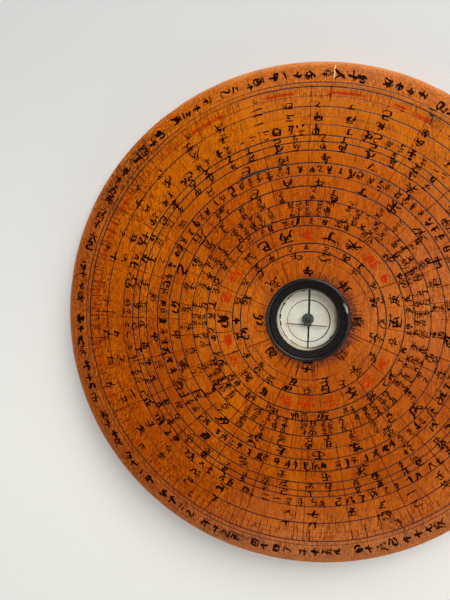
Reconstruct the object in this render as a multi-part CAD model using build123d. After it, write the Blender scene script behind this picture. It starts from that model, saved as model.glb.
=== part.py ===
from build123d import *
from math import cos, pi, sin
import os

# A round geomancer's compass: a turned and lacquered wooden plate with a small
# compass let into its middle. Lengths are in millimetres. The plate lies flat,
# +Z points up, and the origin is the centre of its flat back.

# Plate
plate_d = 200.0  # over the widest line of the rim
plate_t = 15.0  # back to face
foot_d = 188.0  # flat part of the back, with its edge
foot_bevel = 0.8  # broken edge of the flat
rim_round = 3.4  # radius of the rim's upper edge
crown_w = 7.1  # the face falls gently over this width before that edge
crown_h = 0.9
rim_band = 1.5  # upright stretch of the rim

# Black ring round the window
ring_d = 33.0  # over the bead
bead_w = 1.4
bead_foot_h = 0.3  # height of the bead's centre above the plate's face
bead_flats = 4  # the bead's round is turned in this many narrow flats
groove_w = 0.25  # fine groove inside the bead
band_w = 2.65  # band that slopes down to the window
band_top_h = 0.5  # outer edge of the band, above the face
band_edge_t = 0.45  # thickness of the band at the window
overhang = 0.65  # how far the bead laps onto the plate
skirt_t = 1.25

# Window glass
glass_depth = 1.0  # its top, below the plate's face
glass_t = 1.0

# Cup that holds the compass
pool_h = 3.2  # room between glass and card
window_lap = 0.8  # how far the ring's edge hides the cup's rim
wall_lean = 1.0  # the cup's wall stands this much further in at the floor
cup_floor_t = 1.3
card_t = 0.3
card_gap = 0.15  # crevice round the card

# Pivot pin
pin_d = 0.8
pin_point_l = 1.2
pin_tip_d = 0.12
pin_root_l = 3.0  # length driven into the wood

# Needle cap: an upturned cup with a broad brim
cap_d = 4.6
cap_h = 1.35
brim_t = 0.45
dome_d = 2.3
socket_d = 1.5
crown_t = 0.3

# Needle bar and the strap that hangs it from the brim
bar_l = 16.6
bar_d = 0.4
bar_lead = 0.35  # the painted end reaches this much further from the strap
bar_outset = 0.2  # the bar's centre line, outside the brim's edge
bar_taper_l = 1.0
bar_end_d = 0.18
strap_w = 2.9
strap_t = 0.12
tongue_l = 1.0  # from the bar's centre line towards the pivot
rivet_d = 0.32
rivet_head_d = 0.52
rivet_head_h = 0.12
rivet_in = 0.7  # from the bar's centre line towards the pivot
needle_turn = -3.8  # degrees, how the needle stands at rest

# Clearances
seat_gap = 0.1  # cup and ring in the plate's socket, glass in the ring
head_gap = 0.4  # cap below glass
pivot_gap = 0.03  # pin's point below the crown
pin_gap = 0.02  # pin in its holes
bar_gap = 0.02  # bar in its strap
rivet_gap = 0.01
overrun = 1.0  # cuts reach this far past a face

# Heights, from the face down
plate_r = plate_d / 2
face_z = plate_t
glass_top_z = face_z - glass_depth
glass_low_z = glass_top_z - glass_t
card_top_z = glass_low_z - pool_h
cup_floor_z = card_top_z - card_t
socket_z = cup_floor_z - cup_floor_t
cap_low_z = glass_low_z - head_gap - cap_h
point_z = cap_low_z + cap_h - crown_t - pivot_gap

# Radii, from the rim of the ring inwards
ring_r = ring_d / 2
groove_r = ring_r - bead_w
band_r = groove_r - groove_w
window_r = band_r - band_w
skirt_r = ring_r - overhang
socket_r = skirt_r + seat_gap
rebate_r = skirt_r - skirt_t
glass_r = rebate_r - seat_gap
pool_r = window_r + window_lap
floor_r = pool_r - wall_lean
card_r = floor_r - card_gap
pin_r = pin_d / 2
pin_hole_r = pin_r + pin_gap

# The bar hangs just outside the edge of the brim, wrapped by the strap
bar_r = bar_d / 2
strap_in_r = bar_r + bar_gap
strap_out_r = strap_in_r + strap_t
bar_y = -(cap_d / 2 + bar_outset)
bar_z = cap_low_z - strap_out_r
rivet_y = bar_y + rivet_in


def turned(*edges):
    """Spin a closed outline, drawn as radius and height, about the vertical axis."""
    outline = make_face(Plane.XZ * Curve(children=list(edges)))
    return revolve(outline, Axis.Z)


def disc(radius, low_z, high_z):
    """A plain round slab between two heights."""
    slab = Cylinder(radius, high_z - low_z, align=(Align.CENTER, Align.CENTER, Align.MIN))
    return Pos(0, 0, low_z) * slab


def dial_plate():
    """The wooden disc: flat back, tapered side, round rim, falling crown, blind socket."""
    foot_low = (foot_d / 2 - foot_bevel, 0)
    foot_high = (foot_d / 2, foot_bevel)
    round_mid = (plate_r - rim_round, face_z - rim_round - crown_h)
    rim_high = (plate_r, round_mid[1])
    rim_low = (plate_r, rim_high[1] - rim_band)
    crown_start = (round_mid[0] - crown_w, face_z)
    fall = rim_round + crown_h
    # The crown's arc lies flat where it starts and runs smoothly into the rim's
    crown_r = (crown_w**2 + fall**2 - rim_round**2) / (2 * crown_h)
    share = rim_round / (crown_r - rim_round)
    crown_end = (
        round_mid[0] + share * crown_w,
        round_mid[1] + share * (crown_r - fall),
    )
    body = turned(
        Line((0, 0), foot_low),
        Line(foot_low, foot_high),
        Line(foot_high, rim_low),
        Line(rim_low, rim_high),
        TangentArc(rim_high, crown_end, tangent=(0, 1)),
        TangentArc(crown_start, crown_end, tangent=(1, 0)),
        Line(crown_start, (socket_r, face_z)),
        Line((socket_r, face_z), (socket_r, socket_z)),
        Line((socket_r, socket_z), (0, socket_z)),
        Line((0, socket_z), (0, 0)),
    )
    return body - disc(pin_hole_r, socket_z - pin_root_l, socket_z + overrun)


def pool_cup():
    """The turned cup: flat floor, leaning wall, flat rim for glass and ring."""
    return turned(
        Line((pin_hole_r, cup_floor_z), (floor_r, cup_floor_z)),
        Line((floor_r, cup_floor_z), (pool_r, glass_low_z)),
        Line((pool_r, glass_low_z), (skirt_r, glass_low_z)),
        Line((skirt_r, glass_low_z), (skirt_r, socket_z)),
        Line((skirt_r, socket_z), (pin_hole_r, socket_z)),
        Line((pin_hole_r, socket_z), (pin_hole_r, cup_floor_z)),
    )


def dial_card():
    """The pale card on the floor of the cup."""
    card = disc(card_r, cup_floor_z, card_top_z)
    return card - disc(pin_hole_r, cup_floor_z - overrun, card_top_z + overrun)


def glass_cover():
    """The flat round window."""
    return disc(glass_r, glass_low_z, glass_top_z)


def bezel_ring():
    """The black ring: a bead over the joint, a sloping band, a skirt round the glass."""
    bead_r = bead_w / 2
    bead_z = face_z + bead_foot_h
    turns = [pi * flat / bead_flats for flat in range(bead_flats + 1)]
    bead = [
        (ring_r - bead_r + bead_r * cos(turn), bead_z + bead_r * sin(turn))
        for turn in turns
    ]
    band_out = (band_r, face_z + band_top_h)
    band_in = (window_r, glass_top_z + band_edge_t)
    return turned(
        Line((skirt_r, face_z), (ring_r, face_z)),
        Line((ring_r, face_z), bead[0]),
        Polyline(*bead),
        Line(bead[-1], band_out),
        Line(band_out, band_in),
        Line(band_in, (window_r, glass_top_z)),
        Line((window_r, glass_top_z), (rebate_r, glass_top_z)),
        Line((rebate_r, glass_top_z), (rebate_r, glass_low_z)),
        Line((rebate_r, glass_low_z), (skirt_r, glass_low_z)),
        Line((skirt_r, glass_low_z), (skirt_r, face_z)),
    )


def pivot_pin():
    """The upright pin: driven through card and cup, ground to a fine blunt point."""
    root_z = socket_z - pin_root_l
    stem_h = point_z - pin_point_l - root_z
    on_its_foot = (Align.CENTER, Align.CENTER, Align.MIN)
    stem = Cylinder(pin_r, stem_h, align=on_its_foot)
    point = Cone(pin_r, pin_tip_d / 2, pin_point_l, align=on_its_foot)
    return Pos(0, 0, root_z) * (stem + Pos(0, 0, stem_h) * point)


def needle_cap():
    """The inverted cup that rides on the point, its broad brim carrying the needle."""
    brim_r = cap_d / 2
    brim_z = cap_low_z + brim_t
    dome_r = dome_d / 2
    dome_top = (0, cap_low_z + cap_h)
    hollow_r = socket_d / 2
    hollow_top = (0, dome_top[1] - crown_t)
    hollow_side = (hollow_r, hollow_top[1] - hollow_r)
    cap = turned(
        Line((hollow_r, cap_low_z), (brim_r, cap_low_z)),
        Line((brim_r, cap_low_z), (brim_r, brim_z)),
        Line((brim_r, brim_z), (dome_r, brim_z)),
        TangentArc(dome_top, (dome_r, brim_z), tangent=(1, 0)),
        Line(dome_top, hollow_top),
        TangentArc(hollow_top, hollow_side, tangent=(1, 0)),
        Line(hollow_side, (hollow_r, cap_low_z)),
    )
    hole_r = rivet_d / 2 + rivet_gap
    hole = disc(hole_r, cap_low_z - overrun, brim_z + overrun)
    return cap - Pos(0, rivet_y, 0) * hole


def needle_strap():
    """The thin strap: a loop round the bar, with a tongue under the brim."""
    loop = Circle(strap_out_r)
    tongue_end = bar_y + tongue_l
    middle_y = (bar_y + tongue_end) / 2
    tongue = Pos(middle_y - bar_y, strap_out_r - strap_t / 2) * Rectangle(tongue_l, strap_t)
    section = loop + tongue - Circle(strap_in_r)
    across = Plane(origin=(0, bar_y, bar_z), x_dir=(0, 1, 0), z_dir=(1, 0, 0))
    strap = extrude(across * section, amount=strap_w / 2, both=True)
    hole_r = rivet_d / 2 + rivet_gap
    hole = disc(hole_r, cap_low_z - strap_out_r, cap_low_z + overrun)
    return strap - Pos(0, rivet_y, 0) * hole


def strap_rivet():
    """The small rivet through brim and tongue, with a flat head above and below."""
    head_r = rivet_head_d / 2
    brim_z = cap_low_z + brim_t
    tongue_z = cap_low_z - strap_t
    shank = disc(rivet_d / 2, tongue_z - rivet_head_h, brim_z + rivet_head_h)
    upper = disc(head_r, brim_z, brim_z + rivet_head_h)
    lower = disc(head_r, tongue_z - rivet_head_h, tongue_z)
    return Pos(0, rivet_y, 0) * (shank + upper + lower)


def needle_bar():
    """The magnetised steel needle, drawn finer towards both ends."""
    half_l = bar_l / 2
    end_r = bar_end_d / 2
    straight_l = half_l - bar_taper_l
    outline = make_face(
        Polyline(
            (-half_l, 0),
            (-half_l, end_r),
            (-straight_l, bar_r),
            (straight_l, bar_r),
            (half_l, end_r),
            (half_l, 0),
            close=True,
        )
    )
    bar = revolve(outline, Axis.X)
    return Pos(-bar_lead, bar_y, bar_z) * bar


def at_rest(piece):
    """Turn a piece of the needle about the pivot to where it stands at rest."""
    return Rot(0, 0, needle_turn) * piece


pieces = {
    "dial_plate": dial_plate(),
    "pool_cup": pool_cup(),
    "dial_card": dial_card(),
    "glass_cover": glass_cover(),
    "bezel_ring": bezel_ring(),
    "pivot_pin": pivot_pin(),
    "needle_cap": at_rest(needle_cap()),
    "needle_strap": at_rest(needle_strap()),
    "strap_rivet": at_rest(strap_rivet()),
    "needle_bar": at_rest(needle_bar()),
}

os.makedirs("parts", exist_ok=True)
for name, piece in pieces.items():
    export_step(piece, f"parts/{name}.step")
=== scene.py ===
import math

import bpy
import numpy as np
from mathutils import Matrix, Vector


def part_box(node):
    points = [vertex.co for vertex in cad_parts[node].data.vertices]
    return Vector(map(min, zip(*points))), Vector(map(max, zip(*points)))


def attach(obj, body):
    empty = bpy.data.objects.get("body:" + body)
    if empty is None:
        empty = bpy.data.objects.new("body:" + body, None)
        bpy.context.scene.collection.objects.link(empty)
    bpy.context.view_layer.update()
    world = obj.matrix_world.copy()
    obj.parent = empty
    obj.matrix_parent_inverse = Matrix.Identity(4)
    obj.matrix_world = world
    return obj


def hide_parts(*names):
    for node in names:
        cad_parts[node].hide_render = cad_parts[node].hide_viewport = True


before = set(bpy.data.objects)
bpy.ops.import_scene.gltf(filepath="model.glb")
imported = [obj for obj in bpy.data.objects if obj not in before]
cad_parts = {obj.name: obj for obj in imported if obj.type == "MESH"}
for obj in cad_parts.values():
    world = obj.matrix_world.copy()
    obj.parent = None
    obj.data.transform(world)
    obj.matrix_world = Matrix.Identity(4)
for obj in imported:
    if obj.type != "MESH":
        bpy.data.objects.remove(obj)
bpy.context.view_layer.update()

# Camera
# It looks down on the face from about 23 cm, a little off the middle and turned so that
# the plate runs off the picture's right edge. North is +Y, the top of the picture.
eye = Vector((0.0027, 0.0237, 0.246))
looked_at = Vector((-0.0329, 0.0075, 0.015))
camera = bpy.data.objects.new("camera", bpy.data.cameras.new("camera"))
camera.data.lens = 35.14
camera.data.clip_start = 0.01
backward = (eye - looked_at).normalized()
rightward = Vector((0, 1, 0)).cross(backward).normalized()
facing = Matrix((rightward, backward.cross(rightward), backward)).transposed()
camera.matrix_world = Matrix.Translation(eye) @ facing.to_4x4()
bpy.context.collection.objects.link(camera)
bpy.context.scene.camera = camera
bpy.context.scene.view_settings.view_transform = "Standard"


# Lamps
# A broad lamp in the north-east, whose shadow falls to the lower left, one overhead that
# lights the sunk card, a weak low one for the northern rim, and a sky dark overhead.
lamp_colour = (1.0, 0.985, 0.96)


def hang_lamp(name, place, size, power):
    """A square lamp that shines from its place towards the middle of the plate."""
    lamp = bpy.data.objects.new(name, bpy.data.lights.new(name, "AREA"))
    lamp.data.size = size
    lamp.data.energy = power
    lamp.data.color = lamp_colour
    lamp.matrix_world = Vector(place).to_track_quat("Z", "Y").to_matrix().to_4x4()
    lamp.location = place
    bpy.context.collection.objects.link(lamp)


hang_lamp("window_lamp", (0.48, 0.74, 0.83), 0.8, 11.6)
hang_lamp("overhead_lamp", (0.30, -0.10, 1.15), 0.4, 2.6)
hang_lamp("north_lamp", (-0.05, 1.15, 0.42), 0.34, 1.5)
sky = bpy.data.worlds.new("sky")
sky.use_nodes = True
zenith = sky.node_tree.nodes.new("ShaderNodeTexGradient")
overhead = sky.node_tree.nodes.new("ShaderNodeMapping")
directions = sky.node_tree.nodes.new("ShaderNodeTexCoord")
overhead.inputs["Rotation"].default_value = (0, math.pi / 2, 0)
shades = sky.node_tree.nodes.new("ShaderNodeValToRGB")
shades.color_ramp.elements[0].color = (1.0, 1.0, 1.0, 1)
shades.color_ramp.elements[0].position = 0.25
shades.color_ramp.elements[1].color = (0.07, 0.07, 0.07, 1)
shades.color_ramp.elements[1].position = 0.7
background = sky.node_tree.nodes["Background"]
join = sky.node_tree.links.new
join(directions.outputs["Generated"], overhead.inputs["Vector"])
join(overhead.outputs["Vector"], zenith.inputs["Vector"])
join(zenith.outputs["Color"], shades.inputs["Fac"])
join(shades.outputs["Color"], background.inputs["Color"])
background.inputs["Strength"].default_value = 1.0
bpy.context.scene.world = sky


# Wooden plate
# One disc of close-grained wood, turned on a lathe with a rounded rim and a socket for the
# compass, stained and lacquered orange. The ring lines are scribed into the face.
plate_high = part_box("dial_plate")[1]
plate_r = plate_high.x
face_z = plate_high.z
socket_r = 0.01595
socket_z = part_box("pool_cup")[0].z
rim_round = 0.0034
crown_w = 0.0071
crown_h = 0.0009
rim_band = 0.0015
foot_r = 0.094
foot_bevel = 0.0008
turns = 480
ring_shares = (
    0.912, 0.8955, 0.860, 0.821, 0.783, 0.753, 0.713, 0.6886, 0.6563,
    0.6082, 0.5608, 0.5187, 0.465, 0.4039, 0.368, 0.2993, 0.2675, 0.239,
)
ring_strengths = (
    0.55, 1.0, 0.3, 0.8, 0.25, 0.65, 0.95, 0.95, 1.0,
    1.0, 0.9, 0.9, 0.75, 1.0, 0.85, 0.95, 0.8, 0.4,
)
groove_w = 0.00061
groove_h = 0.00011
wander = 0.00009
scribed_mean = 0.85
scribed_swing = 0.22
scribed_least = 0.12
beside_edge = 0.0003
dents = 34
dent_reach = 1.6
rim_wear = 0.00004
dice = np.random.default_rng(24)

crown_fall = rim_round + crown_h
crown_start = plate_r - rim_round - crown_w
crown_r = (crown_w**2 + crown_fall**2 - rim_round**2) / (2 * crown_h)
rim_mid_r = plate_r - rim_round
rim_mid_z = face_z - crown_fall
rim_turn = math.atan2(crown_r - crown_fall, crown_w)


def face_height(radius):
    """Height of the bare face: level as far as the crown, then the crown's arc, whose
    drop is its radius less the root of radius squared minus distance squared, and last
    the rim's quarter round in the same way."""
    past = np.clip(radius - crown_start, 0, None)
    crown = face_z - crown_r + np.sqrt(np.clip(crown_r**2 - past**2, 0, None))
    out = np.clip(radius - rim_mid_r, 0, rim_round)
    rim = rim_mid_z + np.sqrt(rim_round**2 - out**2)
    crown_end = rim_mid_r + rim_round * math.cos(rim_turn)
    return np.where(radius > crown_end, rim, crown)


def slow_waves(angles, count, tallest):
    """For each of count lines, a sum of sines of whole turns round the plate, with random
    phases, and random weights divided by the number of waves to the power 0.8."""
    waves = np.arange(1, 12)
    phases = dice.uniform(0, 2 * np.pi, (count, len(waves), 1))
    weights = dice.normal(0, 1, (count, len(waves), 1)) / waves[:, None] ** 0.8
    return tallest * (weights * np.sin(waves[:, None] * angles + phases)).sum(1)


def make_piece(name, points, faces, body):
    """A smooth mesh of these points and faces that rides on a body of the compass."""
    mesh = bpy.data.meshes.new(name)
    mesh.from_pydata(points.tolist(), [], [face for part in faces for face in part.tolist()])
    mesh.polygons.foreach_set("use_smooth", np.full(len(mesh.polygons), True))
    piece = bpy.data.objects.new(name, mesh)
    bpy.context.collection.objects.link(piece)
    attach(piece, body)
    return piece


def turned_points(radius, height, angles):
    """Profile points carried round the upright axis: x is radius times cosine, y is
    radius times sine, and the height stays."""
    x = radius * np.cos(angles)
    y = radius * np.sin(angles)
    return np.stack([x, y, np.broadcast_to(height, x.shape)], axis=-1)


def round_quads(rows, columns, closed_profile):
    """Four-sided faces between neighbouring profile rows, all the way round."""
    index = np.arange(rows * columns).reshape(rows, columns)
    here = index if closed_profile else index[:-1]
    there = np.roll(index, -1, axis=0) if closed_profile else index[1:]
    quads = [here, there, np.roll(there, -1, axis=1), np.roll(here, -1, axis=1)]
    return np.stack(quads, axis=-1).reshape(-1, 4)


def fan(pole, row, facing_up):
    """Three-sided faces from a pole to the closed row of points round it."""
    near, far = (row, np.roll(row, -1)) if facing_up else (np.roll(row, -1), row)
    return np.stack([np.full(len(row), pole), near, far], axis=-1)


angles = np.linspace(0, 2 * np.pi, turns, endpoint=False)
groove_offsets = np.array([-0.85, -0.5, -0.2, 0.2, 0.5, 0.85]) * groove_w
groove_floor = np.array([0, 0, 1, 1, 0, 0])
ring_radii = plate_r * np.array(ring_shares)
ring_wander = slow_waves(angles, len(ring_radii), wander / 2)
ring_ink = scribed_mean + slow_waves(angles, len(ring_radii), scribed_swing)
ring_ink = np.clip(ring_ink * np.array(ring_strengths)[:, None], scribed_least, 1)

# Each scribed line gives the profile six rows. Plain rows edge the socket and the crown
line_radius = ring_radii[:, None, None] + groove_offsets[:, None] + ring_wander[:, None, :]
scribed_ink = groove_floor[:, None] * ring_ink[:, None, :]
plain = np.append(socket_r + beside_edge, np.linspace(crown_start, rim_mid_r, 8))
plain = plain[np.abs(plain[:, None] - ring_radii).min(1) > 2 * groove_w]
row_radius = np.concatenate([
    line_radius.reshape(-1, turns),
    np.broadcast_to(plain[:, None], (len(plain), turns)),
])
row_ink = np.concatenate([scribed_ink.reshape(-1, turns), np.zeros((len(plain), turns))])
order = np.argsort(row_radius.mean(1))
row_radius = row_radius[order]
row_ink = row_ink[order]
row_height = face_height(row_radius) - groove_h * row_ink

# The rim, the side and the back follow, from the end of the crown to the foot
rim_steps = np.linspace(rim_turn, 0, 12)
rim_radius = rim_mid_r + rim_round * np.cos(rim_steps)
rim_height = rim_mid_z + rim_round * np.sin(rim_steps)
side_high = rim_mid_z - rim_band
side_share = np.linspace(0, 1, 7)
side_radius = plate_r + (foot_r - plate_r) * side_share
side_height = side_high + (foot_bevel - side_high) * side_share
edge_radius = np.concatenate([rim_radius, side_radius, [foot_r - foot_bevel]])
edge_height = np.concatenate([rim_height, side_height, [0.0]])
dent_at = dice.uniform(0, 2 * np.pi, dents)
dent_row = dice.uniform(0.35, 0.75, dents) * len(edge_radius)
dent_h = dice.uniform(0.00005, 0.00022, dents)
dent_w = dice.uniform(0.008, 0.03, dents)
past_dent = np.abs((angles[:, None] - dent_at + np.pi) % (2 * np.pi) - np.pi) / dent_w
up_down = (np.arange(len(edge_radius))[:, None, None] - dent_row) / dent_reach
dented = (dent_h * np.exp(-(past_dent**2) - up_down**2)).sum(-1)
worn = dented + np.abs(slow_waves(angles, 1, rim_wear))
edge_radius = edge_radius[:, None] - worn
edge_radius[-1] += worn[-1]

wall_height = np.array([socket_z, socket_z + beside_edge, face_z - beside_edge, face_z])
profile_radius = np.concatenate([
    np.full((len(wall_height), turns), socket_r), row_radius, edge_radius,
])
profile_height = np.concatenate([
    np.broadcast_to(wall_height[:, None], (len(wall_height), turns)), row_height,
    np.broadcast_to(edge_height[:, None], (len(edge_height), turns)),
])
rows = len(profile_radius)
plate_points = turned_points(profile_radius, profile_height, angles).reshape(-1, 3)
poles = np.array([[0, 0, socket_z], [0, 0, 0]])
top_pole = rows * turns
plate = make_piece(
    "turned_plate",
    np.concatenate([plate_points, poles]),
    [
        round_quads(rows, turns, False),
        fan(top_pole, np.arange(turns), True),
        fan(top_pole + 1, np.arange(turns) + (rows - 1) * turns, False),
    ],
    "plate",
)
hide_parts("dial_plate")
scribed = plate.data.attributes.new("scribed", "FLOAT", "POINT")
ink_values = np.zeros((rows, turns))
ink_values[len(wall_height) : len(wall_height) + len(row_ink)] = row_ink
scribed.data.foreach_set("value", np.append(ink_values.ravel(), [0, 0]))


class Wire:
    """A value on its way through a finish. An expression on it adds its Math nodes."""

    def __init__(self, finish, socket):
        self.finish = finish
        self.socket = socket

    def __add__(self, other):
        return self.finish.work("ADD", self, other)

    def __sub__(self, other):
        return self.finish.work("SUBTRACT", self, other)

    def __mul__(self, other):
        return self.finish.work("MULTIPLY", self, other)

    def __truediv__(self, other):
        return self.finish.work("DIVIDE", self, other)

    def __pow__(self, other):
        return self.finish.work("POWER", self, other)

    def __radd__(self, other):
        return self.finish.work("ADD", other, self)

    def __rsub__(self, other):
        return self.finish.work("SUBTRACT", other, self)

    def __rmul__(self, other):
        return self.finish.work("MULTIPLY", other, self)

    def __abs__(self):
        return self.finish.work("ABSOLUTE", self)


class Finish:
    """One material, built up node by node and ended by its shader. Its colour starts as
    the ground given and is the one laid so far."""

    def __init__(self, name, *ground):
        self.material = bpy.data.materials.new(name)
        self.material.use_nodes = True
        self.tree = self.material.node_tree
        self.tree.nodes.clear()
        self.colour = tint(*ground)
        self.place = self.add("ShaderNodeTexCoord", out="Object")
        self.x, self.y, self.z = (
            self.add("ShaderNodeSeparateXYZ", None, {"Vector": self.place}, axis)
            for axis in range(3)
        )

    def add(self, kind, settings=None, sockets=None, out=0):
        """Any node: its settings first, then the values or links of its sockets."""
        node = self.tree.nodes.new(kind)
        for name, value in (settings or {}).items():
            setattr(node, name, value)
        for name, value in (sockets or {}).items():
            if isinstance(value, Wire):
                self.tree.links.new(value.socket, node.inputs[name])
            else:
                node.inputs[name].default_value = value
        return Wire(self, node.outputs[out])

    def work(self, operation, *values):
        return self.add("ShaderNodeMath", {"operation": operation}, dict(enumerate(values)))

    def stretched(self, x, y, z):
        """The place with each axis scaled, so that a pattern lies longer along one."""
        return self.add("ShaderNodeMapping", None, {"Vector": self.place, "Scale": (x, y, z)})

    def noise(self, scale, detail=3.0, roughness=0.55, where=None):
        """Soft blotches, from 0 to 1, so many to a metre."""
        sockets = {"Vector": where or self.place, "Scale": scale}
        sockets |= {"Detail": detail, "Roughness": roughness}
        return self.add("ShaderNodeTexNoise", None, sockets)

    def rise(self, value, low, high):
        """Nought below low, one above high, and an easy curve between them."""
        sockets = {"Value": value, "From Min": low, "From Max": high}
        return self.add("ShaderNodeMapRange", {"interpolation_type": "SMOOTHSTEP"}, sockets)

    def mix(self, amount, first, second):
        """A colour between two, or the first one tinted towards the second."""
        return self.add(
            "ShaderNodeMix", {"data_type": "RGBA"}, {0: amount, 6: first, 7: second}, out=2
        )

    def lay(self, amount, *over):
        """Lays a colour, given as tint takes it, over the one so far."""
        self.colour = self.mix(amount, self.colour, tint(*over))

    def away(self, east=0.0, north=0.0, half_w=1.0, half_h=1.0):
        """Distance from a middle in half widths and half heights: the root of the sum of
        the two squares."""
        across = (self.x - east) / half_w
        up = (self.y - north) / half_h
        return (across * across + up * up) ** 0.5

    def bump(self, height, strength, distance):
        sockets = {"Height": height, "Strength": strength, "Distance": distance}
        return self.add("ShaderNodeBump", None, sockets)

    def show(self, shader):
        """Ends the finish with this shader."""
        output = self.tree.nodes.new("ShaderNodeOutputMaterial")
        self.tree.links.new(shader.socket, output.inputs["Surface"])
        return self.material

    def end(self, **sockets):
        """Ends it with the main shader, whose sockets have low lines for their blanks."""
        named = {name.replace("_", " "): value for name, value in sockets.items()}
        named["Base Color"] = self.colour
        return self.show(self.add("ShaderNodeBsdfPrincipled", None, named))


def tint(red=255, green=255, blue=255):
    """A colour as seen on a screen, 0 to 255, turned into the amount of light it gives
    back: its share to the power 2.2."""
    return tuple((part / 255) ** 2.2 for part in (red, green, blue)) + (1.0,)


wood = Finish("lacquered_wood", 180, 82, 0)
lay, rise, noise, away = wood.lay, wood.rise, wood.noise, wood.away
x, y, z = wood.x, wood.y, wood.z
along = wood.stretched(1, 0.05, 1)
mottle = noise(26, 4)
streak = noise(380, where=along)
fibre = noise(2400, 3, 0.65, along)
pore = rise(noise(3100, 2, where=wood.stretched(1, 0.11, 1)), 0.66, 0.76)
radius = away()
speckle = noise(1700, 3, 0.75, wood.stretched(1, 0.42, 1))
hair = noise(2600, 2, 0.6, wood.stretched(1, 0.06, 1))
lay(rise(mottle, 0.3, 0.7), 207, 103, 3)
lay(rise(streak, 0.42, 0.72) * 0.3, 160, 66, 0)
broad = noise(130, where=wood.stretched(1, 0.12, 1))
lay(rise(broad, 0.5, 0.68) * 0.4, 226, 124, 22)
lay(rise(broad, 0.48, 0.32) * 0.3, 150, 60, 0)

# Paler towards the north in the outer rings, darker in the inner north, and pale, dull and hazy
# in patches in the east and the south
outer = rise(radius + mottle * 0.02, 0.055, 0.092)
lay(outer * rise(y, 0.0, 0.08) * 0.6, 214, 116, 2)
darker_north = rise(y, 0.012, 0.034) * rise(radius, 0.074, 0.054)
lay(darker_north * 0.35, 166, 68, 0)
# Each pale patch is partly dull lacquer and partly a painted sheen of the lamps; the one on the
# northern rim is a painted highlight
for east, north, half_w, half_h, pale in (
    (0.055, 0.01, 0.036, 0.050, 0.4), (0.02, -0.098, 0.080, 0.032, 0.75),
    (0.00, 0.100, 0.09, 0.024, 0.4), (0.064, -0.060, 0.032, 0.034, 0.35),
    (-0.019, 0.078, 0.0012, 0.018, 0.25),
):
    far = away(east, north, half_w, half_h)
    dull_and_sheen = rise(far + (mottle - 0.5) * 0.8, 1.15, 0.1)
    lay(dull_and_sheen * pale, 206, 122, 66)
# Lighter beside the window to the west and to the east
for lighter_x, lighter_share in ((-0.026, 0.5), (0.027, 0.35)):
    worn = rise(away(lighter_x) + (mottle - 0.5) * 0.02, 0.026, 0.006)
    lay(worn * lighter_share, 224, 122, 34)
far_west = rise(x + y * 0.4 + mottle * 0.02, -0.035, -0.07)
lay(far_west * 0.35, 158, 66, 4)
south_east = rise(y, 0.004, -0.022) * rise(x + mottle * 0.01, -0.014, 0.016)
south_east *= rise(radius, 0.088, 0.072)
lay(south_east * 0.3, 142, 54, 0)

# Handled rim: darker and redder lacquer outside the last ring, rubbed pale on the edge, where the
# pale edge is also a painted highlight, strongest in the north
handled = rise(radius + mottle * 0.006, 0.088, 0.099)
westward = rise(x + y, 0.03, -0.07)
lay(handled * (0.04 + westward * 0.38), 150, 88, 48)
dusty = handled * rise(x - y * 0.8, -0.03, 0.06)
lay(dusty * 0.5, 208, 132, 84)
lathe_place = wood.add("ShaderNodeCombineXYZ", None, {"X": radius, "Y": streak * 0.002})
lathe_lines = noise(1600, 2, 0.7, lathe_place)
lathe_dark = handled * (0.6 - dusty * 0.25) * rise(lathe_lines, 0.5, 0.62)
lay(lathe_dark, 104, 44, 14)
lay(handled * rise(lathe_lines, 0.5, 0.34) * 0.3, 224, 138, 66)
# The pale edge is rubbed lacquer and also a painted highlight along the rim
rubbed = rise(radius + (fibre - 0.5) * 0.003, 0.0968, 0.0990) * rise(z, 0.004, 0.011)
lay(rubbed * 0.5, 218, 122, 32)
rim_highlight = rubbed * rise(y, 0.05, 0.095) * rise(x, -0.06, -0.02)
lay(rim_highlight * 0.4, 222, 150, 98)
side_dirt = rise(noise(210, 4), 0.5, 0.72) * rise(z, 0.0125, 0.009)
lay(side_dirt * 0.6, 88, 42, 20)
on_back = rise(z, 0.0006, 0.0002)
lay(on_back * rise(lathe_lines, 0.46, 0.64) * 0.4, 124, 54, 14)
lay(on_back * rise(mottle, 0.4, 0.66) * 0.4, 138, 62, 14)

# Fine grain and specks, which the lacquer shows everywhere
grainy = rise(noise(85, where=wood.stretched(1, 0.5, 1)), 0.38, 0.6)
grainy = 0.4 + grainy * 0.6 - rise(x + y * 1.6, 0.05, 0.16) * 0.22
grainy += rise(x, -0.02, -0.08) * 0.35
lay(rise(speckle, 0.46, 0.6) * grainy * 0.68, 122, 46, 0)
lay(rise(speckle, 0.44, 0.3) * grainy * 0.42, 240, 134, 32)
lay(rise(hair, 0.52, 0.66) * 0.5, 116, 44, 0)
lay(rise(fibre, 0.45, 0.7) * 0.3, 130, 54, 2)
lay(pore * 0.6, 84, 34, 10)

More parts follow.
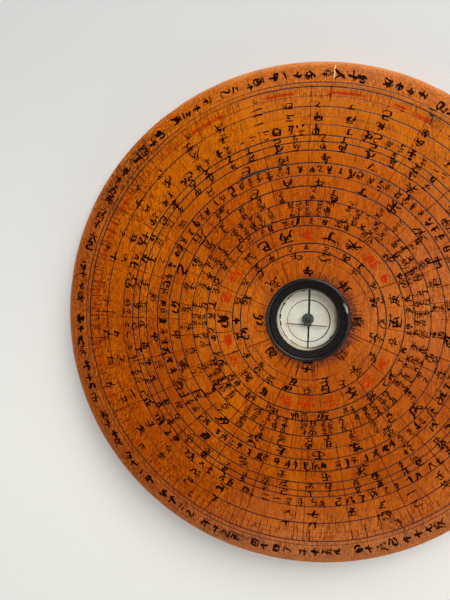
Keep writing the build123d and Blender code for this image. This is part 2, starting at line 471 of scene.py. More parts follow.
# Ink that has soaked in round the window, and old smears of it
on_face = rise(z, 0.008, 0.012)
bleed = noise(1500, 3, 0.7)
halo = rise(radius - (bleed - 0.5) * 0.008, 0.0204, 0.0166)
halo_here = on_face * (0.4 + rise(x - y * 0.4, -0.004, 0.012) * 0.6)
halo_here *= 0.55 + rise(noise(320, 2), 0.4, 0.6) * 0.45
lay(halo * halo_here * 0.8, 74, 32, 34)
blot = rise(noise(1000, 4, 0.7), 0.48, 0.56)
blot_here = on_face * rise(radius, 0.0212, 0.0172) * rise(x + y * 0.2, 0.0, 0.01)
lay(blot * blot_here * 0.8, 40, 20, 42)
smears = (
    (0.0465, 0.0755, 0.0040, 0.0040), (-0.082, 0.047, 0.008, 0.011),
    (-0.074, 0.059, 0.010, 0.009), (-0.068, 0.053, 0.006, 0.005),
    (-0.066, 0.068, 0.016, 0.007), (-0.013, 0.0625, 0.006, 0.0012),
    (-0.030, -0.090, 0.018, 0.003), (0.060, 0.062, 0.022, 0.004),
    (0.034, -0.080, 0.020, 0.006),
)
wiped = rise(noise(1700, 3, 0.65, wood.stretched(1, 0.4, 1)), 0.5, 0.58)
ragged = (noise(330, 4) - 0.5) * 2.4
for east, north, half_w, half_h in smears:
    smear = on_face * rise(away(east, north, half_w, half_h) + ragged, 1.0, 0.2)
    lay(smear * 0.08, 84, 40, 28)
    lay(smear * wiped * 0.6, 44, 26, 30)

# The short crack in the rim shows bare wood
crack = rise(abs(x - y * 0.0975 + (bleed - 0.5) * 0.0005), 0.00032, 0.00015)
crack *= rise(radius, 0.0925, 0.0932) * rise(radius, 0.0982, 0.0976)
crack *= rise(y, 0.08, 0.085)
lay(crack * 0.85, 232, 206, 160)

# Ink in the scribed lines has browned towards the south-east; a paler grey on them in the
# north-east is a painted glint of light on the grooves
scribed_here = wood.add("ShaderNodeAttribute", {"attribute_name": "scribed"}, out="Fac")
scored = rise(scribed_here, 0.06, 0.62)
painted_glint = rise(y, 0.02, 0.07) * rise(x, -0.04, 0.02)
painted_glint *= 0.3 + rise(noise(240), 0.44, 0.6) * 0.7
browned = rise(x - y * 0.8, 0.01, 0.09)
score_colour = wood.mix(browned * 0.85, tint(20, 30, 36), tint(98, 50, 42))
score_colour = wood.mix(painted_glint * 0.3, score_colour, tint(112, 90, 88))
wood.colour = wood.mix(scored, wood.colour, score_colour)
scratch = rise(noise(1500, 2, where=wood.stretched(1, 0.02, 1)), 0.7, 0.78)
relief = fibre * 0.35 + scratch * 0.3 - pore * 0.6 + noise(520, 2) * 0.5
plate.data.materials.append(
    wood.end(
        Roughness=0.3 + mottle * 0.1 + scored * 0.2 + pore * 0.1,
        Normal=wood.bump(relief, 0.3, 0.00025),
        IOR=1.4,
        Specular_IOR_Level=0.1,
        Coat_Weight=rise(scribed_here, 0.02, 0.3) * 0.2,
        Coat_Roughness=0.16,
        Coat_IOR=1.5,
    )
)


# Ruled lines and ticks
# Fine ink lines ruled across the rings with a straight edge, and the degree ticks of the
# outer scale. Ink stands a little proud of the lacquer.
ink_rise = 0.000035
ink_sink = 0.00002
rule_w = 0.00042
rule_share = np.linspace(0, 1, 9)
rule_slant = 0.03
rule_slip = 0.00035
rule_lean = 0.00016


def ink_finish(name, strong, weak, cover=1.0):
    """Brush ink, thin where it is faded and where grain or rubbing breaks it up. Its
    cover is how much of the wood's colour it hides."""
    ink = Finish(name, *strong)
    faded = ink.add("ShaderNodeAttribute", {"attribute_name": "faded"}, out="Fac")
    patch = ink.noise(900)
    grain = ink.noise(3600, 3, 0.7, ink.stretched(1, 0.12, 1))
    thin = ink.rise(faded + (patch - 0.5) * 0.5, 0.1, 0.95)
    rubbed = ink.rise(grain + thin * 0.34, 0.74, 0.86)
    ink.lay(thin, *weak)
    return ink.end(
        Roughness=0.46 + patch * 0.2,
        Normal=ink.bump(patch, 0.25, 0.0001),
        Alpha=(1.0 - rubbed * 0.85) * cover,
        IOR=1.33,
        Specular_IOR_Level=0.06,
    )


black_ink = ink_finish("black_ink", (33, 14, 4), (80, 36, 8))
line_ink = ink_finish("line_ink", (36, 18, 26), (104, 44, 24))
tick_ink = ink_finish("tick_ink", (78, 22, 14), (140, 52, 14))
blue_black = ink_finish("blue_black", (36, 48, 50), (110, 70, 50))
red_ink = ink_finish("red_ink", (196, 40, 6), (200, 66, 8), 0.72)
faint_red = ink_finish("faint_red", (206, 56, 8), (206, 86, 18), 0.62)


def inked(name, lines, ink, level=face_height):
    """Ribbons of ink. Lines give x, y, half width and fade, with one row for each ribbon.
    Across each point of its line a ribbon has a sunk edge, a raised crest and a sunk
    edge, a half width to each side at right angles to the line's direction, all laid on
    the surface whose height level gives."""
    x, y, half_w, fade = lines
    along_x = np.gradient(x, axis=1)
    along_y = np.gradient(y, axis=1)
    length = np.sqrt(along_x**2 + along_y**2) + 1e-9
    side = np.array([-1, 0, 1])
    px = x[..., None] + side * (half_w * -along_y / length)[..., None]
    py = y[..., None] + side * (half_w * along_x / length)[..., None]
    pz = level(np.hypot(px, py)) + np.array([-ink_sink, ink_rise, -ink_sink])
    points = np.stack([px, py, pz], axis=-1).reshape(-1, 3)
    index = np.arange(x.size * 3).reshape(*x.shape, 3)
    corners = [index[:, :-1, :-1], index[:, 1:, :-1], index[:, 1:, 1:], index[:, :-1, 1:]]
    quads = np.stack(corners, axis=-1).reshape(-1, 4)
    piece = make_piece(name, points, [quads], "plate")
    faded = piece.data.attributes.new("faded", "FLOAT", "POINT")
    faded.data.foreach_set("value", np.repeat(fade.ravel(), 3))
    piece.data.materials.append(ink)


def polar(radius, azimuth):
    """East and north of a place: radius times the sine and the cosine of its azimuth,
    which is counted clockwise from north."""
    return radius * np.sin(azimuth), radius * np.cos(azimuth)


def ruled(*spans):
    """Radial lines. Each span gives its azimuths in degrees, its inner and outer radius as
    shares of the plate's, and its weight; a line runs evenly from one radius to the other
    and wanders."""
    azimuth = np.concatenate([np.radians(span[0]) for span in spans])
    counts = [len(span[0]) for span in spans]
    inner, outer, weight = (
        np.repeat([span[part] for span in spans], counts)[:, None] for part in (1, 2, 3)
    )
    inner = inner * plate_r + dice.normal(0, rule_slip, inner.shape)
    outer = outer * plate_r + dice.normal(0, rule_slip, outer.shape)
    lean = dice.normal(0, rule_lean, (len(azimuth), 2, 1))
    radius = inner + (outer - inner) * rule_share
    drift = lean[:, 0] + lean[:, 1] * rule_share + (radius - 0.07) * rule_slant
    x, y = polar(radius, azimuth[:, None] + drift / radius)
    half_w = weight * (1 + dice.normal(0, 0.15, radius.shape)) * rule_w / 2
    fade = 0.3 + dice.normal(0, 0.2, (len(azimuth), 1)) + dice.normal(0, 0.12, radius.shape)
    fade += 0.35 * np.clip(np.cos(azimuth - 0.35), 0, 1)[:, None]
    return x, y, half_w * (1.1 - 0.5 * fade), np.clip(fade, 0, 0.85)


# The houses of the dial aren't quite even, and their lines lean a little
fifteenths = np.arange(24) * 15.0
eighths = np.arange(8) * 45.0
houses = fifteenths + 1.0 - 1.2 * np.cos(np.radians(fifteenths)) + dice.normal(0, 0.5, 24)
rules = ruled(
    (houses[1:], 0.495, 0.608, 1.05),
    (houses[1:], 0.602, 0.760, 1.1),
    (houses[1:], 0.745, 0.896, 0.9),
    (fifteenths + 7.5, 0.2993, 0.5187, 1.0),
    (houses[::2] + 7.5, 0.655, 0.715, 0.5),
    (np.arange(18) * 20.0 + 6.0, 0.4039, 0.5187, 0.5),
    (eighths + 22.5, 0.165, 0.4039, 1.0),
    (eighths + 22.5, 0.312, 0.324, 2.3),
)
meridians = ruled(
    ([0.2], 0.52, 0.896, 0.7), ([180.3], 0.52, 0.896, 1.2), ([271.3], 0.79, 0.87, 1.6)
)
inked("house_lines", rules, tick_ink)
inked("ruled_lines", meridians, line_ink)


def column(*values):
    """One value for each line, to be spread along it."""
    return np.array(values)[:, None]


# Where the pen ran on a ring line, above the window to the left, and blotted at the edge.
# Each is three ribbons that overlap
run_steps = 30
run_share = np.linspace(0, 1, run_steps)
run_azimuth = np.radians(334 + 20 * run_share) + np.zeros((3, 1))
run_r = 0.0608 + column(0.0, 0.4, 0.9) * (1 - run_share) ** 1.5 * 0.0014
run_w = column(0.00046, 0.0004, 0.00034) * (1 + dice.normal(0, 0.14, (3, run_steps)))
run_w[:, -6:] *= np.linspace(1, 0.3, 6)
run_fade = column(0.0, 0.35, 0.6) + 0.4 * (run_share - 0.55) ** 2
blot_turn = column(1.6, 0.15, 2.2) * (run_share - 0.5)
blot_azimuth = np.radians(column(30.1, 30.8, 29.6) + blot_turn)
blot_r = column(0.0897, 0.0890, 0.0908) + column(-0.0008, -0.0032, 0.0006) * run_share
blot_swell = np.sin(np.pi * run_share) * (1 + 0.35 * np.sin(run_share * 23))
blot_w = column(0.00085, 0.0006, 0.0005) * blot_swell + 0.00004
run_x, run_y = polar(np.append(run_r, blot_r, 0), np.append(run_azimuth, blot_azimuth, 0))
run_fade = np.append(run_fade, np.full((3, run_steps), 0.2), 0)
inked("ink_run", (run_x, run_y, np.append(run_w, blot_w, 0), run_fade), blue_black)

ticks = np.arange(0, 360, 1.8) + dice.normal(0, 0.45, 200)
hairs = dice.uniform(100, 262, 150)
south_hairs = np.concatenate([dice.normal(185, 28, 60), dice.normal(88, 16, 34)])
north_hairs = dice.normal(-2, 20, 40)
whiskers = ruled(
    (south_hairs[::3], 0.166, 0.190, 0.75),
    (south_hairs[1::3], 0.166, 0.208, 0.6),
    (south_hairs[2::3], 0.178, 0.226, 0.5),
    (dice.uniform(0, 360, 30), 0.166, 0.182, 0.5),
    (north_hairs[::2] - 10, 0.166, 0.236, 0.55),
    (north_hairs[1::2], 0.30, 0.44, 0.4),
)
inked("ink_whiskers", whiskers, line_ink)
degrees = ruled(
    (ticks[::4], 0.8600, 0.8850, 1.25),
    (ticks[1::4], 0.8500, 0.8900, 1.0),
    (ticks[2::4], 0.8700, 0.8920, 1.1),
    (ticks[3::8], 0.8400, 0.8940, 1.5),
    (ticks[3::12], 0.8215, 0.8920, 1.0),
    (hairs[:60], 0.8215, 0.8600, 0.7),
    (hairs[60:], 0.7830, 0.8200, 0.55),
)
inked("degree_ticks", degrees, tick_ink)


# Brush characters
# Counting numerals, the names of the compass directions and the signs by which they are
# counted, written by hand with a fine brush in black ink, and some of them in red.

# Each name has its strokes, and each stroke its turns, as pairs of digits: a place from
# 0 to 9 towards the right and one from 0 to 9 downwards.
strokes_of = """
one 1584
two 2373 1787
three 2272 3565 1888
four 1218 128288 323426 626576 1888
five 2171 4138 247468 1888
six 4052 1383 3518 6588
seven 1583 4147588886
eight 423518 516588
nine 414518 136367788886
ten 1484 5158
jia 2125 217175 2373 2575 5159
yi 227227288886
bing 1181 2328 237378 515436 5466
ding 1282 525837
wu 2372 2318 41568886 7447 6071
ji 217174 2474 24288886
geng 4051 1282 222509 347476 3676 535629 5689
xin 4051 2272 3344 6354 1585 2777 5559
ren 6132 1585 5258 2878
gui 214114 2233 614284 7253 3464 1686 545618 5689
zi 217153 535837 1585
chou 217168 4138 2474 1888
yin 5051 13128283 3363 2427 247477 2676 5357 2777 3819 6889
mao 41222645 434629 52828776 5259
chen 1181 111609 3373 2585 353958 556789 7667
si 217174 2474 21288886
noon 4023 3272 1585 5259
wei 2272 1484 5059 4518 5588
shen 2226 227276 2474 2676 5059
you 1181 2328 237378 414435 515565 2676 2878
xu 2272 222619 41568986 7448 6071 3454
hai 4051 1282 42245418 744729 5789
qian 1141 3032 1316 134346 1646 1848 3639 6053 5282 548457588887
gen 217175 2373 2575 212957 456889 7657
xun 113133131444 517173535484 2676 1787 3537 6567 3819 6889
kun 0333 2127 0736 4246 428286 4484 4686 6069
metal 4014 4084 3464 2676 5458 3738 6768 1989
tree 1383 5059 4417 5487
water 515847 134317 8264 5488
fire 2224 7264 514519 5589
earth 2474 5158 1888
"""
drafts = dict(line.split(maxsplit=1) for line in strokes_of.strip().split("\n"))
names = list(drafts)
numerals = names[:10]
stems = names[10:20]
branches = names[20:32]
elements = names[36:]
clockwise = (
    "noon ding wei kun shen geng you xin xu qian hai ren "
    "zi gui chou gen yin jia mao yi chen xun si bing"
).split()
red_places = (0, 3, 4, 8, 9, 11, 12, 13, 16, 17, 19, 20)
stroke_steps = 9
stroke_w = 0.00134
tremble = 0.055
trail_share = 0.35
usual_high = 0.0038
usual_strokes = 4.5


def stroke_line(turns):
    """One stroke as evenly spaced places: straight runs between its turns, by length,
    then each place drawn halfway to the mean of its neighbours, so that turns are round."""
    grid = np.array([int(digit) for digit in turns], float).reshape(-1, 2) / 9 - 0.5
    length = np.append(0, np.cumsum(np.hypot(*np.diff(grid, axis=0).T)))
    even = np.linspace(0, length[-1], stroke_steps)
    line = np.stack([np.interp(even, length, grid[:, part]) for part in (0, 1)], axis=-1)
    line[1:-1] = line[1:-1] / 2 + (line[:-2] + line[2:]) / 4
    return line


shapes = np.array([stroke_line(turns) for draft in drafts.values() for turns in draft.split()])
stroke_counts = np.array([len(draft.split()) for draft in drafts.values()])
first_stroke = np.cumsum(stroke_counts) - stroke_counts


def written(rows, heavy, along_rim):
    """Lines of ink for rows of characters: name, radius, azimuth, height and width.
    Both ends of a stroke's drafted line are shifted at random, the places between them in
    proportion, and a bow is added that is greatest halfway. The page is bent round the
    dial: right is counter-clockwise and down is outwards, or for columns along the rim
    down is counter-clockwise and right is inwards. Some strokes are joined by the thin
    trail of a brush that wasn't lifted."""
    kind = np.array([names.index(row[0]) for row in rows])
    radius, azimuth, high, wide = np.array([row[1:] for row in rows], float).T
    count = stroke_counts[kind]
    owner = np.repeat(np.arange(len(kind)), count)
    nth = np.arange(len(owner)) - np.repeat(np.cumsum(count) - count, count)
    line = shapes[first_stroke[kind[owner]] + nth]
    total = len(owner)
    share = np.linspace(0, 1, stroke_steps)[:, None]
    reach = dice.normal(0, tremble, (total, 2, 1, 2))
    bow = dice.normal(0, tremble, (total, 1, 2)) * np.sin(np.pi * share)
    line = line + reach[:, 0] * (1 - share) + reach[:, 1] * share + bow

    # The unlifted brush's trail, from one stroke's end to the next one's start
    joined = (owner[1:] == owner[:-1]) & (dice.random(total - 1) < trail_share)
    start, end = line[:-1][joined, -1:], line[1:][joined, :1]
    swing = dice.normal(0, 0.05, (joined.sum(), 1, 2)) * np.sin(np.pi * share)
    line = np.concatenate([line, start + (end - start) * share + swing])
    owner = np.append(owner, owner[:-1][joined])
    trail = np.arange(len(owner)) >= total

    # A brush presses as it starts, eases, and lifts off as it leaves
    press = dice.uniform(0.45, 1.0, (len(owner), 1))
    along = share[:, 0]
    swell = press + (1 - press) * np.abs(np.cos(np.pi * along * dice.uniform(0.8, 1.2)))
    leave = 1 - 0.75 * np.clip((along - dice.uniform(0.55, 0.9, (len(owner), 1))) / 0.3, 0, 1)
    swell = swell * leave * np.where(along == 0, 0.6, 1)
    thick = heavy * dice.uniform(0.8, 1.2, len(kind)) * (high / usual_high) ** 1.1
    thick *= np.clip(usual_strokes / count, 0.5, 1.1) ** 0.7
    drop = np.abs(np.gradient(line[..., 1], axis=1))
    across = np.abs(np.gradient(line[..., 0], axis=1))
    swell = swell * (0.55 + 0.6 * drop / (drop + across + 1e-6))
    half_w = stroke_w / 2 * swell * (thick[owner] * np.where(trail, 0.5, 1))[:, None]

    # Each character has its own slant and size
    slant = dice.normal(0.08, 0.12, len(kind))[owner][:, None]
    size = dice.normal(1, 0.09, len(kind))[owner][:, None]
    right = (line[..., 0] - slant * line[..., 1]) * size * wide[owner][:, None]
    down = (line[..., 1] + 0.5 * slant * line[..., 0]) * size * high[owner][:, None]
    outward, round_ccw = (-right, down) if along_rim else (down, right)
    here = radius[owner][:, None] + outward
    x, y = polar(here, np.radians(azimuth[owner])[:, None] - round_ccw / here)
    fade = np.abs(dice.normal(0, 0.16, len(kind)))[owner][:, None]
    fade = fade + np.where(trail, 0.15, 0)[:, None] + 0.25 * along * (1 - press)
    worn_side = np.clip(np.cos(np.radians(azimuth) - 2.4), 0, 1) * (radius > 0.08)
    fade = fade + 0.28 * worn_side[owner][:, None]
    return x, y, half_w, np.clip(fade, 0, 0.85)


def band(share, places, high, wide, words, stack=1, spread=0.004, missing=0.0, jitter=0.5):
    """Rows for one ring of characters, at share of the plate's radius. Each place, an
    azimuth in degrees, has a stack of characters one outside the other, and the words are
    used in turn. A few places are left empty."""
    found = []
    for number, place in enumerate(places):
        place = place + dice.normal(0, jitter)
        for level in range(stack):
            if dice.random() < missing:
                continue
            word = words[(number * stack + level) % len(words)]
            out = (level - (stack - 1) / 2) * spread
            radius = share * plate_r + out + dice.normal(0, 0.00012)
            scale = dice.uniform(0.88, 1.12)
            azimuth = place + dice.normal(0, 0.2 if stack > 1 else 0)
            found.append((word, radius, azimuth, high * scale, wide * scale))
    return found


def counting(length):
    """Numbers written out one after another in counting words: 1 to 10, then 10 and 1,
    10 and 2, and so on, as a scale is numbered."""
    words = []
    for number in range(1, length):
        tens, ones = divmod(number, 10)
        words += [numerals[tens - 1]] * (tens > 1) + ["ten"] * (tens > 0)
        words += [numerals[ones - 1]] * (ones > 0)
    return words


every = np.arange
outer_rows = []
for group in every(28):
    word = [clockwise[group * 6 % 24], "ten", numerals[group % 10], stems[group % 10]]
    start = -group * 360 / 28 + dice.normal(0, 0.4)
    for place, name in enumerate(word):
        at = start - place * 2.7 + dice.normal(0, 0.15)
        radius = 0.9425 * plate_r + dice.normal(0, 0.0003)
        outer_rows.append((name, radius, at, 0.0042, 0.0042))
scale_rows = (
    band(0.864, every(19) * 19.0 + 4, 0.0026, 0.0030, counting(10), missing=0.1)
    + band(0.805, every(37) * 9.8 + 1, 0.0034, 0.0044, stems + numerals, 2, 0.0044, 0.04, 0.9)
)
pairs = np.array([4.7, 11.0])
middle_rows = (
    band(0.736, (every(48)[:, None] * 7.5 + [1.8, 4.8]).ravel(), 0.0036, 0.0033,
         stems + numerals, missing=0.03, jitter=0.35)
    + band(0.687, (houses[:, None] + pairs).ravel(), 0.0032, 0.0037, stems + branches, 2, 0.0029)
    + band(0.630, houses + 7, 0.0036, 0.0050, clockwise, missing=0.04, jitter=0.9)
    + band(0.585, every(94) * 360 / 94, 0.0035, 0.0029, stems + elements + branches)
    + band(0.537, houses + 6.3, 0.0040, 0.0056, clockwise, missing=0.04, jitter=0.9)
)
# The sixty are written five by five
fives = every(12)[:, None] * 30.0
fives = fives - 4 + 4 * np.cos(np.radians(fives))
inner_rows = (
    band(0.491, every(34) * 360 / 34, 0.0027, 0.0034, stems + branches, 2, 0.0025, 0.02, 0.8)
    + band(0.434, (fives + (every(5) - 2) * 5.1).ravel(), 0.0024, 0.0030, stems + branches,
           3, 0.0020, 0.03)
    + band(0.386, (fifteenths[:, None] + [2.4, 7.8]).ravel(), 0.0031, 0.0032,
           branches + stems, missing=0.03, jitter=0.8)
    + band(0.284, fifteenths, 0.0031, 0.0040, stems + branches, jitter=1.2)
    + band(0.256, every(12) * 30.0 + 15, 0.0030, 0.0046, elements + branches, jitter=2.5)
    + band(0.193, every(8) * 45.0, 0.0044, 0.0052, clockwise[::3], jitter=0.8)
)
mountain_rows = band(0.334, fifteenths, 0.0044, 0.0058, clockwise)
inner_rows += [row for at, row in enumerate(mountain_rows) if at not in red_places]
red_rows = [row for at, row in enumerate(mountain_rows) if at in red_places]

for name, rows, heavy, ink, rim in (
    ("rim_characters", outer_rows, 1.12, black_ink, True),
    ("scale_characters", scale_rows, 1.08, black_ink, False),
    ("middle_characters", middle_rows, 1.04, black_ink, False),
    ("inner_characters", inner_rows, 1.04, black_ink, False),
    ("red_characters", red_rows, 1.3, faint_red, False),
):
    inked(name, written(rows, heavy, rim), ink)

# Red dashes on the degree scale, each an arc, with red and dark ticks among them
dash_spans = np.array([
    (328, 337), (349, 356), (4, 14), (21, 24), (25.5, 31), (40, 47), (300, 306),
    (287, 295), (275, 280), (256, 263), (240, 249), (222, 229), (206, 212), (188, 196),
    (172, 179), (160, 166), (146, 151), (60, 66),
])
dash_start, dash_end = dash_spans[:, :1], dash_spans[:, 1:]
azimuth = np.radians(dash_start + (dash_end - dash_start) * np.linspace(0, 1, 12))
dash_r = 0.8735 * plate_r + dice.normal(0, 0.00025, dash_start.shape)
dash_r = dash_r + 0.00035 * np.sin(azimuth * 3 + dice.uniform(0, 6, dash_start.shape))
to_north = 0.5 + 0.5 * np.cos(azimuth)
dash_w = (0.00028 + 0.00050 * to_north) * (1 + dice.normal(0, 0.2, azimuth.shape))
dash_fade = np.clip(0.8 - 0.22 * to_north + dice.normal(0, 0.25, azimuth.shape), 0, 0.95)
inked("red_dashes", (*polar(dash_r, azimuth), dash_w, dash_fade), red_ink)
red_at = np.concatenate([dice.uniform(272, 326, 26), dice.uniform(225, 262, 8)])
red_lines = ruled((red_at[::2], 0.855, 0.886, 1.2), (red_at[1::2], 0.866, 0.882, 1.5))
inked("red_ticks", red_lines, red_ink)
west_at = dice.uniform(262, 342, 96)
west_lines = ruled(
    (west_at[::2], 0.856, 0.893, 0.8),
    (west_at[1::4], 0.812, 0.862, 0.6),
    (west_at[3::4], 0.762, 0.815, 0.6),
)
inked("west_ticks", west_lines, tick_ink)

# Loose strokes of worn ink on the rim, crosswise in the north-west and lengthwise at the foot
crosswise = 62
lengthwise = 22
scribbles = crosswise + lengthwise


def either(at_foot, elsewhere):
    """One value for the strokes at the foot and the other for the rest."""
    return np.where(np.arange(scribbles) >= crosswise, at_foot, elsewhere)


spot = either(dice.normal(196, 3.5, scribbles), dice.normal(311, 5.5, scribbles))
from_axis = either(dice.uniform(0.925, 0.955, scribbles), dice.uniform(0.915, 0.972, scribbles))
heading = either(spot + dice.normal(90, 14, scribbles), dice.normal(340, 32, scribbles))
stretch = either(0.0024, 0.0011) * dice.uniform(0.6, 1.5, scribbles)
reach = stretch[:, None] * (rule_share - 0.5)
lie = np.radians(heading)[:, None] + dice.normal(0, 0.5, (scribbles, 1)) * rule_share
here_x, here_y = polar(plate_r * from_axis[:, None], np.radians(spot)[:, None])
reach_x, reach_y = polar(reach, lie)
half_w = dice.uniform(0.00015, 0.00032, (scribbles, 1)) * np.sin(np.pi * (0.1 + 0.8 * rule_share))
fade = np.clip(dice.normal(0.1, 0.16, (scribbles, 1)), 0, 0.85) + np.zeros(len(rule_share))
inked("rim_scribbles", (here_x + reach_x, here_y + reach_y, half_w, fade), blue_black)


# Black ring
# A turned ring of black lacquered wood pressed into the plate round the window: a bead
# over the joint, a fine groove, and a band dished towards the glass.
ring_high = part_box("bezel_ring")[1]
ring_r = ring_high.x
glass_low, glass_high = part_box("glass_cover")
window_z = glass_high.z
bead_r = 0.0007
bead_z = ring_high.z - bead_r
groove_in_r = 0.01485
window_r = 0.0122
band_top_z = face_z + 0.0005
band_edge_h = 0.00045
skirt_r = 0.01585
rebate_r = 0.0146
ring_turns = 256


def arc(middle, height, radius, start, end, steps):
    """Part of a circle in the profile: middle plus radius times cosine, height plus
    radius times sine, from one angle to another in degrees."""
    angle = np.radians(np.linspace(start, end, steps))
    return np.stack([middle + radius * np.cos(angle), height + radius * np.sin(angle)], axis=-1)


def turned_piece(name, profile, body, worn=0.0):
    """A turned solid: the profile, radius and height, goes once round the upright axis.
    Wear moves its points a little with slow waves."""
    angles = np.linspace(0, 2 * np.pi, ring_turns, endpoint=False)
    radius = profile[:, :1] + np.zeros(ring_turns)
    height = profile[:, 1:] + slow_waves(angles, len(profile), worn)
    points = turned_points(radius, height, angles).reshape(-1, 3)
    quads = round_quads(len(profile), ring_turns, True)
    return make_piece(name, points, [quads], body)


lip = 0.00016
groove_lip = 0.00012
lip_z = window_z + band_edge_h - lip
ring_profile = np.concatenate([
    arc(window_r + lip, lip_z, lip, 180, 70, 6),
    arc(groove_in_r - groove_lip, band_top_z - groove_lip, groove_lip, 110, 0, 6),
    [(groove_in_r + 0.00002, band_top_z - 0.0003), (ring_r - 2 * bead_r, bead_z)],
    arc(ring_r - bead_r, bead_z, bead_r, 172, 0, 22),
    [
        (ring_r, face_z), (skirt_r, face_z), (skirt_r, glass_low.z),
        (rebate_r, glass_low.z), (rebate_r, window_z), (window_r, window_z),
    ],
])
window_ring = turned_piece("window_ring", ring_profile, "plate")
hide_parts("bezel_ring")
black = Finish("black_lacquer", 10, 8, 6)
rub = black.noise(420, 4)
hair = black.rise(black.noise(2600, 2, where=black.stretched(1, 0.06, 1)), 0.62, 0.72)
edge = black.rise(black.noise(1500, 3, 0.65), 0.56, 0.68)
black.lay(black.rise(rub, 0.35, 0.7), 24, 19, 15)
black.lay(edge * 0.5, 58, 46, 36)
ring_out = black.away()
on_bead = black.rise(ring_out, 0.0149, 0.0152)
# A pale patch on the bead in the east: a worn chip, and also a painted highlight on the bead
chip_out = (ring_out - 0.0154) / 0.0004
chip_along = (black.y - 0.0048) / 0.0019
chip_far = (chip_out * chip_out + chip_along * chip_along) ** 0.5
chip_and_highlight = black.rise(chip_far + (rub - 0.5) * 2.4, 1.2, 0.7) * black.rise(black.x, 0.0, 0.01)
black.lay(chip_and_highlight * 0.85, 206, 208, 190)
window_ring.data.materials.append(
    black.end(
        Roughness=0.55 - on_bead * 0.28 + rub * 0.14 + hair * 0.12,
        Normal=black.bump(rub * 0.6 + hair * 0.4, 0.2, 0.0002),
        IOR=1.5,
        Specular_IOR_Level=0.2,
        Coat_Weight=on_bead * 0.45,
        Coat_Roughness=0.12,
        Coat_IOR=1.55,
    )
)


def dress(node, material):
    """Gives a CAD node its finish."""
    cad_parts[node].data.materials.clear()
    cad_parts[node].data.materials.append(material)


# Glass
# A flat round window, held between the ring's rebate and the cup's rim.
glass = Finish("window_glass")
clear = glass.add("ShaderNodeBsdfTransparent", None, {"Color": (0.98, 0.99, 0.985, 1)})
mirror = glass.add("ShaderNodeBsdfGlossy", None, {"Roughness": 0.06, "Color": (1, 1, 1, 1)})
inner_side = glass.add("ShaderNodeNewGeometry", out="Backfacing")
bounce = glass.add("ShaderNodeFresnel", None, {"IOR": 1.5}) * (1.0 - inner_side)
both = glass.add("ShaderNodeMixShader", None, {0: bounce, 1: clear, 2: mirror})
dress("glass_cover", glass.show(both))


# Cup
# A turned cup of white glazed ware let into the plate. It holds the compass, and its
# leaning wall shows as a pale rim outside the card.
cup = Finish("white_cup", 226, 214, 192)
cup_stain = cup.noise(620, 4)
cup.lay(cup_stain, 190, 174, 146)
# Darker towards the east: painted shade where the ring shades the cup's wall
painted_east_shade = cup.rise(cup.x + (cup_stain - 0.5) * 0.006, -0.004, 0.007)
cup.lay(painted_east_shade * 0.9, 66, 58, 44)
dress(
    "pool_cup",
    cup.end(
        Roughness=0.35 + cup_stain * 0.2,
        Normal=cup.bump(cup_stain, 0.15, 0.0002),
        IOR=1.5,
    ),
)


# Card
# A round of pale card lies on the cup's floor, yellowed and stained at its edge. The
# meridian is painted across it, broad in the northern half, with a thin circle.
card_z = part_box("dial_card")[1].z
card_off = 0.0003
card = Finish("card", 252, 248, 236)
card_radius = card.away(card_off)
cloud = card.noise(240, 4)
wipe = card.noise(620, where=card.stretched(0.3, 1, 1))
fleck = card.rise(card.noise(2300), 0.63, 0.72)
card.lay(card.rise(cloud, 0.3, 0.7), 240, 232, 212)
card.lay(card.rise(wipe, 0.5, 0.75) * 0.5, 228, 214, 190)
flush = card.rise(card.x + card.y * 0.4 + (cloud - 0.5) * 0.004, 0.002, 0.011)
card.lay(flush * 0.5, 222, 196, 170)
card.lay(fleck * 0.25, 182, 166, 134)
grain_edge = (card.noise(900) - 0.5) * 0.0005
crevice = card.rise(card_radius + grain_edge, 0.01135, 0.01155)
crevice *= card.rise(card_radius + grain_edge, 0.0119, 0.0117)
crevice *= 0.75 + card.rise(card.noise(420), 0.4, 0.6) * 0.25
card.lay(crevice, 48, 36, 26)
crumbs = card.rise(card.noise(1300), 0.56, 0.64)
crumbs *= card.rise(card_radius, 0.0108, 0.0112)
crumbs *= card.rise(card.noise(260, 2), 0.5, 0.6)
card.lay(crumbs, 28, 20, 16)
# Darker towards the south
south_darker = card.rise(card.y + cloud * 0.004, -0.004, -0.0105)
card.lay(south_darker * 0.45, 208, 202, 176)
# Darker at the east edge: a painted shadow of the ring, with some stain
shadow_stain = card.rise(card.x + (cloud - 0.5) * 0.001, 0.0098, 0.0118)
card.lay(shadow_stain * 0.7, 92, 80, 62)
dress(
    "dial_card",
    card.end(
        Roughness=0.7 + cloud * 0.15,
        Normal=card.bump(card.noise(1800), 0.2, 0.0001),
    ),
)
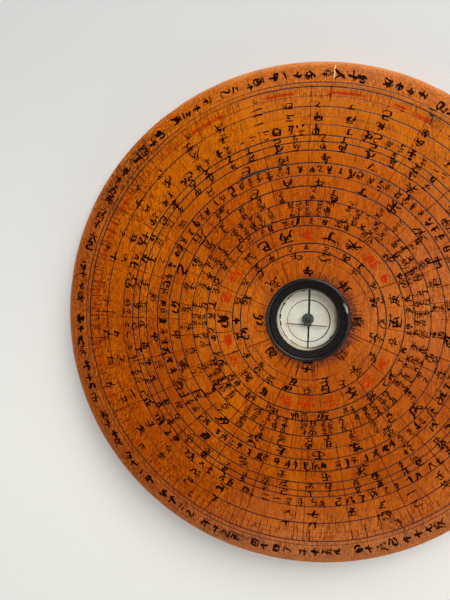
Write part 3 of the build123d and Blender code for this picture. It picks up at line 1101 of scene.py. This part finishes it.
# The meridian's strokes with their ragged edges, the circle in four parts, and the dirt
mark_steps = 24
mark_share = np.linspace(0, 1, mark_steps)
broad_x = 0.0005 - 0.0002 * mark_share
broad_y = 0.0117 - 0.0128 * mark_share
marks = [(broad_x, broad_y, np.full(mark_steps, 0.00046), 0.3)]
for beside in (-0.00035, 0.00035):
    marks.append((broad_x + beside, broad_y, np.full(mark_steps, 0.00014), 0.0))
marks.append((
    0.0003 - 0.0003 * mark_share, -0.0011 - 0.0108 * mark_share,
    0.0006 - 0.0002 * mark_share**3, 0.0,
))
for part in range(4):
    turn = 2 * np.pi * (mark_share + part) / 4
    marks.append((
        0.00025 + 0.00845 * np.cos(turn), -0.0009 + 0.0084 * np.sin(turn),
        0.00025 + 0.00009 * np.cos(turn), 0.0,
    ))
press = 1 + dice.normal(0, 0.08, (len(marks), mark_steps))
for azimuth, width, half_w in (
    (-59, 5.0, 0.00056), (-64, 3.0, 0.00034), (-84, 5.0, 0.00058), (-89, 3.0, 0.00044),
    (-97, 4.0, 0.00030), (-102, 6.0, 0.00044), (127, 8.0, 0.00024), (131, 2.5, 0.00046),
    (-40, 14.0, 0.00010), (-70, 10.0, 0.00010), (-122, 16.0, 0.00014), (-146, 18.0, 0.00014),
):
    out = 0.0114 + 0.0001 * np.sin(mark_share * 9 + azimuth)
    dirt_x, dirt_y = polar(out, np.radians(azimuth + (mark_share - 0.5) * width))
    swell = np.sin(np.pi * mark_share) ** 0.5 * (1 + 0.3 * np.sin(mark_share * 20))
    marks.append((card_off + dirt_x, dirt_y, half_w * swell, 0.0))
mark_x, mark_y, mark_w = (np.array([mark[part] for mark in marks]) for part in range(3))
mark_w[: len(press)] *= press
mark_fade = column(*(mark[3] for mark in marks)) + np.zeros(mark_steps)
inked(
    "card_marks", (mark_x, mark_y, mark_w, mark_fade),
    ink_finish("card_ink", (44, 46, 50), (118, 114, 104)),
    lambda radius: np.full(radius.shape, card_z),
)


# Pin
# A steel pin driven through card and cup into the wood, ground to a fine point.
pin = Finish("pin_steel", 150, 148, 144)
pin_spot = pin.noise(1400)
pin.lay(pin_spot, 98, 88, 78)
dress(
    "pivot_pin",
    pin.end(
        Metallic=1.0,
        Roughness=0.3 + pin_spot * 0.25,
        Normal=pin.bump(pin_spot, 0.2, 0.0001),
    ),
)


# Needle cap, strap and rivet
# The cap is an upturned brass cup with a broad brim, gone almost black, that rides on the
# pin. The strap is riveted under its brim and wrapped round the needle.
brass = Finish("dark_brass", 48, 54, 52)
tarnish = brass.noise(1900, 4, 0.65)
bright = brass.rise(brass.noise(2600), 0.6, 0.75)
brass.lay(brass.rise(tarnish, 0.38, 0.62), 92, 98, 92)
brass.lay(bright * 0.4, 140, 134, 110)
dark_brass = brass.end(
    Roughness=0.78 + tarnish * 0.2,
    Specular_IOR_Level=0.12,
    Normal=brass.bump(tarnish, 0.6, 0.0003),
)
for node in ("needle_cap", "needle_strap", "strap_rivet"):
    dress(node, dark_brass)


# Needle
# A thin magnetised steel bar, drawn finer towards both ends. Its west end is painted red
# and its other end is left pale.
steel = Finish("needle_steel", 112, 96, 98)
rust = steel.noise(1500, 4)
red_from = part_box("needle_bar")[0].x * 0.7
painted_red = steel.rise(steel.x + (rust - 0.5) * 0.001, red_from + 0.001, red_from - 0.0005)
steel.lay(steel.rise(rust, 0.35, 0.7), 76, 60, 62)
steel.lay(painted_red, 156, 84, 90)
dress(
    "needle_bar",
    steel.end(
        Metallic=0.4 - painted_red * 0.4,
        Roughness=0.34 + rust * 0.25,
        Normal=steel.bump(rust, 0.2, 0.0001),
    ),
)


# Floor
# A pale sheet, much larger than the plate, that isn't part of the object, with painted shade
# darkening it towards the north
floor_half = 3.0
floor_mesh = bpy.data.meshes.new("floor")
corners = [(-1, -1), (1, -1), (1, 1), (-1, 1)]
floor_points = [(east * floor_half, north * floor_half, 0) for east, north in corners]
floor_mesh.from_pydata(floor_points, [], [(0, 1, 2, 3)])
floor = bpy.data.objects.new("floor", floor_mesh)
bpy.context.collection.objects.link(floor)
paper = Finish("pale_sheet", 250, 250, 246)
north_shade = paper.rise(paper.y, -0.08, 0.17)
paper.lay(north_shade, 212, 214, 214)
sheet_sockets = {"Base Color": paper.colour, "Roughness": 0.85}
lit_sheet = paper.add("ShaderNodeBsdfPrincipled", None, sheet_sockets)
glow_colour = paper.mix(north_shade, tint(236, 235, 230), tint(210, 211, 210))
glow = paper.add("ShaderNodeEmission", None, {"Color": glow_colour, "Strength": 1.0})
seen = [paper.add("ShaderNodeLightPath", out=ray) for ray in
        ("Is Camera Ray", "Is Glossy Ray", "Is Transmission Ray")]
far_off = paper.rise(paper.away(), 0.25, 0.8)
seen_share = (seen[0] + seen[1] + seen[2]) * (0.08 + far_off * 0.9)
sheet = paper.add("ShaderNodeMixShader", None, {0: seen_share, 1: lit_sheet, 2: glow})
floor_mesh.materials.append(paper.show(sheet))
